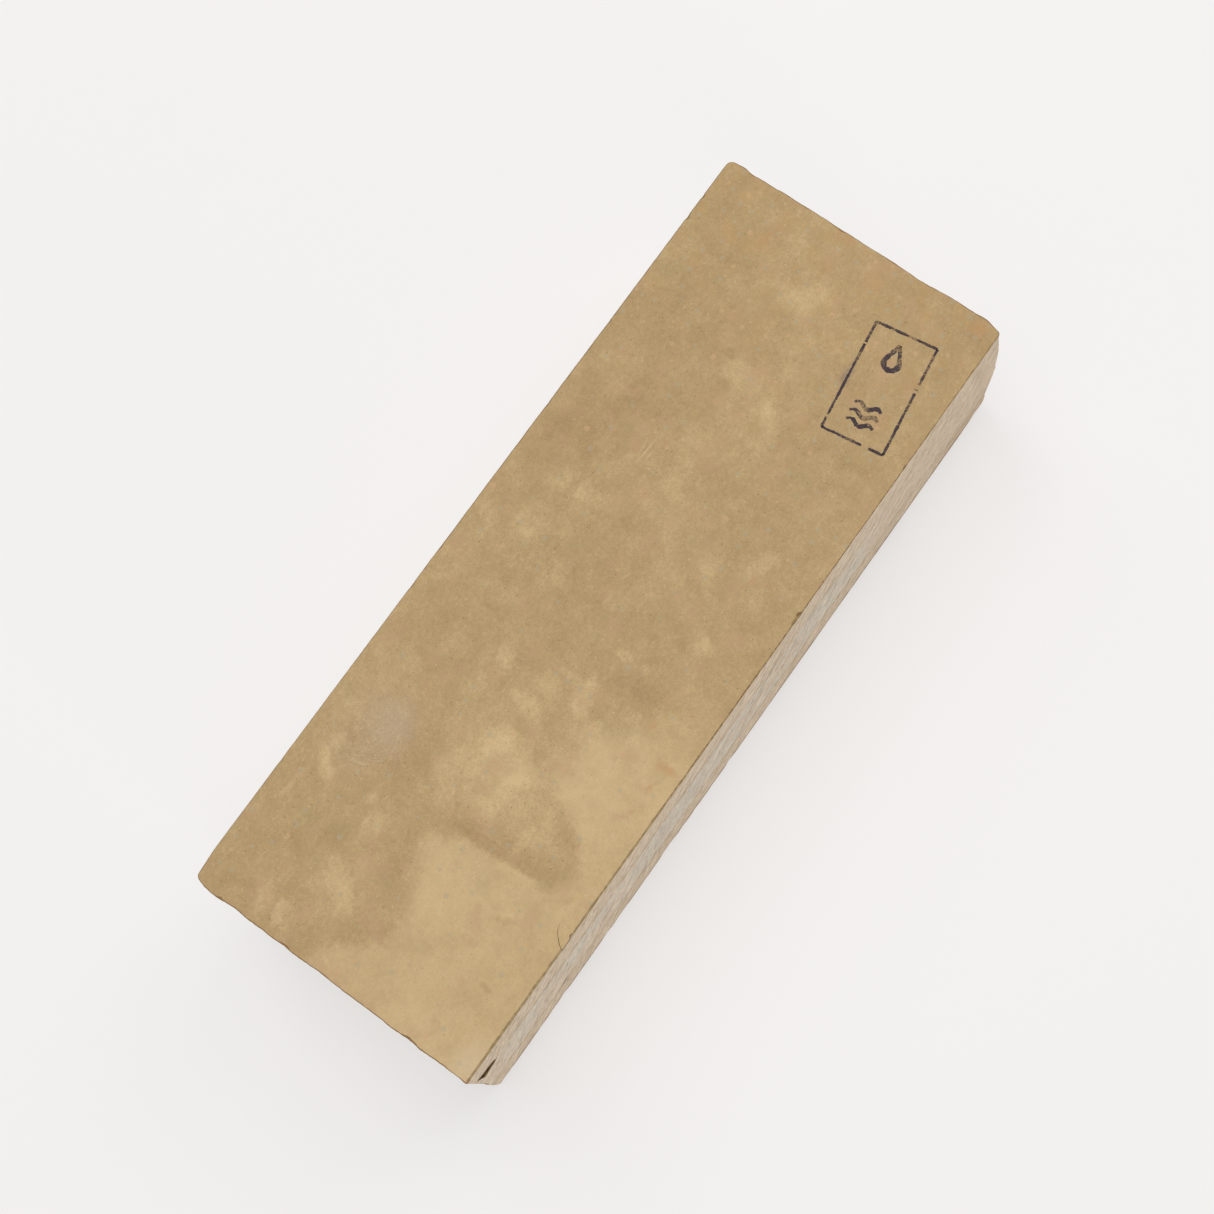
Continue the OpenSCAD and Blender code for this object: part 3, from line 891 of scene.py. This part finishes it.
def makeReliefTree():
    tree = bpy.data.node_groups.new("stoneRelief", "GeometryNodeTree")
    tree.interface.new_socket("Geometry", in_out="INPUT", socket_type="NodeSocketGeometry")
    for name, value in relief.items():
        tree.interface.new_socket(name, in_out="INPUT", socket_type="NodeSocketFloat").default_value = value
    tree.interface.new_socket("Geometry", in_out="OUTPUT", socket_type="NodeSocketGeometry")
    made = Graph(tree)
    start = made.node("NodeGroupInput").socket.node
    geometry = Link(made, start.outputs["Geometry"])
    sizes = {name: Link(made, start.outputs[name]) for name in relief}

    def attribute(name, kind, out=0):
        return made.node("GeometryNodeInputNamedAttribute", {"data_type": kind}, {"Name": name}, out)

    place = made.scaled(made.node("GeometryNodeInputPosition"), 1 / mm)
    x, y, z = made.split(place)
    lean = sizes["Saw Lean"]
    across = (x * made.math("SINE", lean) - z * made.math("COSINE", lean)) / sizes["Saw Pitch"]
    down = (x * made.math("COSINE", lean) + z * made.math("SINE", lean)) * 0.02
    marks = made.noise(made.join(across, down, y * 0.02 + sizes["Seed"]), 0.8, 2.0, 0.55) - 0.5
    waves = made.noise(made.join(across * 0.16, down, y * 0.02 - sizes["Seed"]), 1.0, 1.0, 0.5) - 0.5
    sawing = (marks * 1.3 + waves * 1.6) * sizes["Saw Depth"] * attribute("sawn", "FLOAT")
    spot = made.vector("ADD", place, made.join(sizes["Seed"] * 7.0, 0.0, 0.0))
    scallops = made.cells(spot, 1 / sizes["Break Size"], feature="SMOOTH_F1", dimensions="3D")
    rubble = made.noise(spot, 0.22, 4.0, 0.55) - 0.5
    crumbs = made.noise(spot, 0.9, 3.0, 0.6) - 0.5
    breaking = (scallops * -0.7 + 0.3 + rubble * 1.3 + crumbs * 0.28) * sizes["Break Depth"] \
        * attribute("broken", "FLOAT")
    push = made.scaled(attribute("outward", "FLOAT_VECTOR"), (sawing + breaking) * mm)
    geometry = made.node("GeometryNodeSetPosition", None, {"Geometry": geometry, "Offset": push})
    geometry = made.node("GeometryNodeRealizeInstances", None, {"Geometry": geometry})
    kind = attribute("kind", "INT")
    for index, name in enumerate(finishOrder):
        chosen = made.node("FunctionNodeCompare", {"data_type": "INT", "operation": "EQUAL"},
                           {2: kind, 3: index})
        geometry = made.node("GeometryNodeSetMaterial", None,
                             {"Geometry": geometry, "Selection": chosen, "Material": finishes[name]})
    made.node("NodeGroupOutput", None, {"Geometry": geometry})
    return tree


def plainMesh(made, name):  # the evaluated shape as a mesh of its own, with crisp ridges
    evaluated = made.evaluated_get(bpy.context.evaluated_depsgraph_get())
    mesh = bpy.data.meshes.new_from_object(evaluated, preserve_all_data_layers=True,
                                           depsgraph=bpy.context.evaluated_depsgraph_get())
    made.modifiers.clear()
    made.data = mesh
    mesh.name = name
    mesh.polygons.foreach_set("use_smooth", [True] * len(mesh.polygons))
    mesh.set_sharp_from_angle(angle=math.radians(34))
    return made


def carve(made, tree):
    modifier = made.modifiers.new("relief", "NODES")
    modifier.node_group = tree
    for item in tree.interface.items_tree:
        if item.in_out == "INPUT" and item.name in relief:
            modifier[item.identifier] = relief[item.name]
    return plainMesh(made, made.name)


reliefTree = makeReliefTree()
honingBed = carve(buildSkin("honingBed", honingBedRings()), reliefTree)
print("honing bed:", len(honingBed.data.polygons), "faces")
baseBed = carve(buildSkin("baseBed", baseBedRings()), reliefTree)
print("base bed:", len(baseBed.data.polygons), "faces")
backSkin = carve(buildSkin("backSkin", backSkinRings()), reliefTree)
print("back skin:", len(backSkin.data.polygons), "faces")


# the edge flake and its pocket

flake = {
    "thickness": 1.2,
    # round the crack from the near edge, then back along the chipped lip, with the gap behind each point
    "outline": [
        (-68, -37.66, 0.12), (-67.3, -36.5, 0.12), (-66.7, -35.85, 0.11), (-66.15, -35.3, 0.1),
        (-65.4, -34.65, 0.09), (-64.5, -34.25, 0.07), (-63.7, -34, 0.04), (-63.2, -34.6, 0.01),
        (-63.15, -35.6, 0.01), (-63.6, -36.6, 0.01), (-64.1, -37.25, 0.01), (-64.7, -37.22, 0),
        (-65, -37.55, 0), (-65.6, -37.68, 0), (-66.6, -37.7, 0), (-67.4, -37.68, 0),
    ],
    "crackPoints": 11,  # how many of them lie on the crack
}


def prism(name, bottom, top, low, high):
    count = len(bottom)
    coords = [((x + middleX) * mm, y * mm, low * mm) for x, y in bottom]
    coords += [((x + middleX) * mm, y * mm, high * mm) for x, y in top]
    faces = [(i, (i + 1) % count, count + (i + 1) % count, count + i) for i in range(count)]
    faces += [tuple(range(count - 1, -1, -1)), tuple(range(count, 2 * count))]
    mesh = bpy.data.meshes.new(name)
    mesh.from_pydata(coords, [], faces)
    mesh.validate()
    return addObject(mesh)


def outwardsFirst(points):  # the same outline, turned counter-clockwise so that its faces point outwards
    area = sum(a[0] * b[1] - b[0] * a[1] for a, b in zip(points, points[1:] + points[:1]))
    return points if area > 0 else points[::-1]


def makeFlake():
    shape = flake["outline"]
    count = len(shape)
    pocket = []
    for i in range(flake["crackPoints"]):
        before, here, after = shape[i - 1 if i else 0], shape[i], shape[i + 1]
        run = Vector((after[0] - before[0], after[1] - before[1])).normalized()
        pocket.append((here[0] - run.y * here[2], here[1] + run.x * here[2]))
    pocket += [(-63.5, -39.0), (pocket[0][0] - 0.1, -39.0)]
    cutter = prism("pocket", outwardsFirst(pocket), outwardsFirst(pocket),
                   block["top"] - flake["thickness"], block["top"] + 1.0)
    cutter.data.materials.append(finishes["sawn"])
    cut = honingBed.modifiers.new("pocket", "BOOLEAN")
    cut.operation = "DIFFERENCE"
    cut.solver = "EXACT"
    cut.object = cutter
    plainMesh(honingBed, "honingBed")
    bpy.data.objects.remove(cutter)
    flat = [(x, y) for x, y, gap in shape]
    middle = Vector((sum(p[0] for p in flat) / count, sum(p[1] for p in flat) / count))
    drawnIn = [tuple(middle + (Vector(p) - middle) * 0.985) for p in flat]
    piece = prism("edgeFlake", outwardsFirst(drawnIn), outwardsFirst(flat),
                  block["top"] - flake["thickness"], block["top"])
    for name in ("honing", "parting"):
        piece.data.materials.append(finishes[name])
    for face in piece.data.polygons:
        face.material_index = 0 if face.normal.z > 0.5 else 1
    return piece


edgeFlake = makeFlake()
print("edge flake fitted, honing bed now:", len(honingBed.data.polygons), "faces")


# the ink stamp

ink = {
    "line": 0.5,
    "step": 0.2,
    "proud": 0.03,
    "sunk": 0.02,
    "fadeLimit": 0.53,  # the line breaks where its wander is above this
    "dropPlace": (6.4, 0.2),
    "dropRadius": 1.75,
    "dropTip": 4.7,
    "dropStroke": 1.25,
    "wavePlace": (-7.6, 0.3),
    "waveLength": 7.0,
    "waveHeight": 0.55,
    "wavePitch": 2.2,
    "waveStroke": 1.05,
}


def onStamp(u, v):
    c, s = math.cos(stamp["turn"]), math.sin(stamp["turn"])
    return stampX + u * c - v * s, stampY + u * s + v * c


def brushed(points, width, fade=0.0, taper=0.0, seed=0.0):  # stretches of a stroke, split where it fades
    stretches, current = [], []
    count = len(points)
    for i, (u, v) in enumerate(points):
        before, after = points[max(i - 1, 0)], points[min(i + 1, count - 1)]
        run = Vector((after[0] - before[0], after[1] - before[1])).normalized()
        share = i / (count - 1)
        size = width * (1 + 0.3 * wander(u, v, 0, 0.8, seed) + 0.2 * wander(u, v, 0, 3.0, seed))
        size *= 1 - taper * smooth(0.6, 1.0, share) - taper * 0.4 * smooth(0.25, 0.0, share)
        weak = wander(u, v, 0, 2.4, seed + 5) + 0.6 * wander(u, v, 0, 0.7, seed + 9)
        if fade and weak > fade:
            if len(current) > 1:
                stretches.append(current)
            current = []
            continue
        left = size * 0.5 + 0.13 * wander(u, v, 0, 0.32, seed + 1)
        right = size * 0.5 + 0.13 * wander(u, v, 0, 0.32, seed + 2)
        current.append(((u - run.y * left, v + run.x * left), (u + run.y * right, v - run.x * right)))
    if len(current) > 1:
        stretches.append(current)
    return stretches


def inkPiece(name, strokes):
    coords, faces = [], []
    above, below = ink["proud"], -ink["sunk"]
    for stretch in strokes:
        start = len(coords)
        for left, right in stretch:
            for (u, v), z in ((left, above), (right, above), (right, below), (left, below)):
                x, y = onStamp(u, v)
                coords.append(((x + middleX) * mm, y * mm, (block["top"] + z) * mm))
        last = start + 4 * (len(stretch) - 1)
        for i in range(start, last, 4):
            for k in range(4):
                faces.append((i + k, i + (k + 1) % 4, i + 4 + (k + 1) % 4, i + 4 + k))
        faces.append((start + 3, start + 2, start + 1, start))
        faces.append((last, last + 1, last + 2, last + 3))
    mesh = bpy.data.meshes.new(name)
    mesh.from_pydata(coords, [], faces)
    mesh.materials.append(inkFinish)
    return addObject(mesh)


def makeBorder():
    u, v = stamp["length"] / 2 - ink["line"] / 2, stamp["width"] / 2 - ink["line"] / 2
    corners = [(-u, -v), (u, -v), (u, v), (-u, v)]
    strokes = []
    for side in range(4):
        start, end = Vector(corners[side]), Vector(corners[(side + 1) % 4])
        count = round((end - start).length / ink["step"])
        points = [tuple(start.lerp(end, i / count)) for i in range(count + 1)]
        strokes += brushed(points, ink["line"] * 1.25, fade=ink["fadeLimit"], seed=side * 3.1)
    return inkPiece("inkBorder", strokes)


def makeDrop():
    radius, tip = ink["dropRadius"], ink["dropTip"]
    lean = math.degrees(math.acos(radius / tip))
    cx, cy = ink["dropPlace"]
    turnSteps, sideSteps = 44, 18
    points = []
    for i in range(turnSteps + 1):
        angle = math.radians(lean + (360 - 2 * lean) * i / turnSteps)
        points.append((cx + radius * math.cos(angle), cy + radius * math.sin(angle)))
    first, last = Vector(points[0]), Vector(points[-1])
    point = Vector((cx + tip, cy))
    points = [tuple(point.lerp(first, i / sideSteps)) for i in range(sideSteps)] + points
    points += [tuple(last.lerp(point, i / sideSteps)) for i in range(1, sideSteps + 1)]
    return inkPiece("inkDrop", brushed(points, ink["dropStroke"], taper=0.35, seed=21.0))


def makeWaves():
    cx, cy = ink["wavePlace"]
    strokes = []
    steps = 44
    for row in (-1, 0, 1):
        points = []
        for i in range(steps + 1):
            share = i / steps
            points.append((cx + row * ink["wavePitch"] + ink["waveHeight"] * math.sin(3 * math.pi * share),
                           cy + ink["waveLength"] * (share - 0.5) * (1 - 0.06 * abs(row))))
        strokes += brushed(points, ink["waveStroke"], taper=0.5, seed=31.0 + row * 4)
    return inkPiece("inkWaves", strokes)


inkBorder = makeBorder()
inkDrop = makeDrop()
inkWaves = makeWaves()
print("ink stamp drawn")

# each piece stands for its CAD node

for piece, node, slot in [(honingBed, "honing_bed", "honing_stone"), (baseBed, "base_bed", "sawn_stone"),
                          (backSkin, "back_skin", "natural_rind"), (edgeFlake, "edge_flake", "honing_stone"),
                          (inkBorder, "ink_border", "stamp_ink"), (inkDrop, "ink_drop", "stamp_ink"),
                          (inkWaves, "ink_waves", "stamp_ink")]:
    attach(piece, "root")
    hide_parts(node)
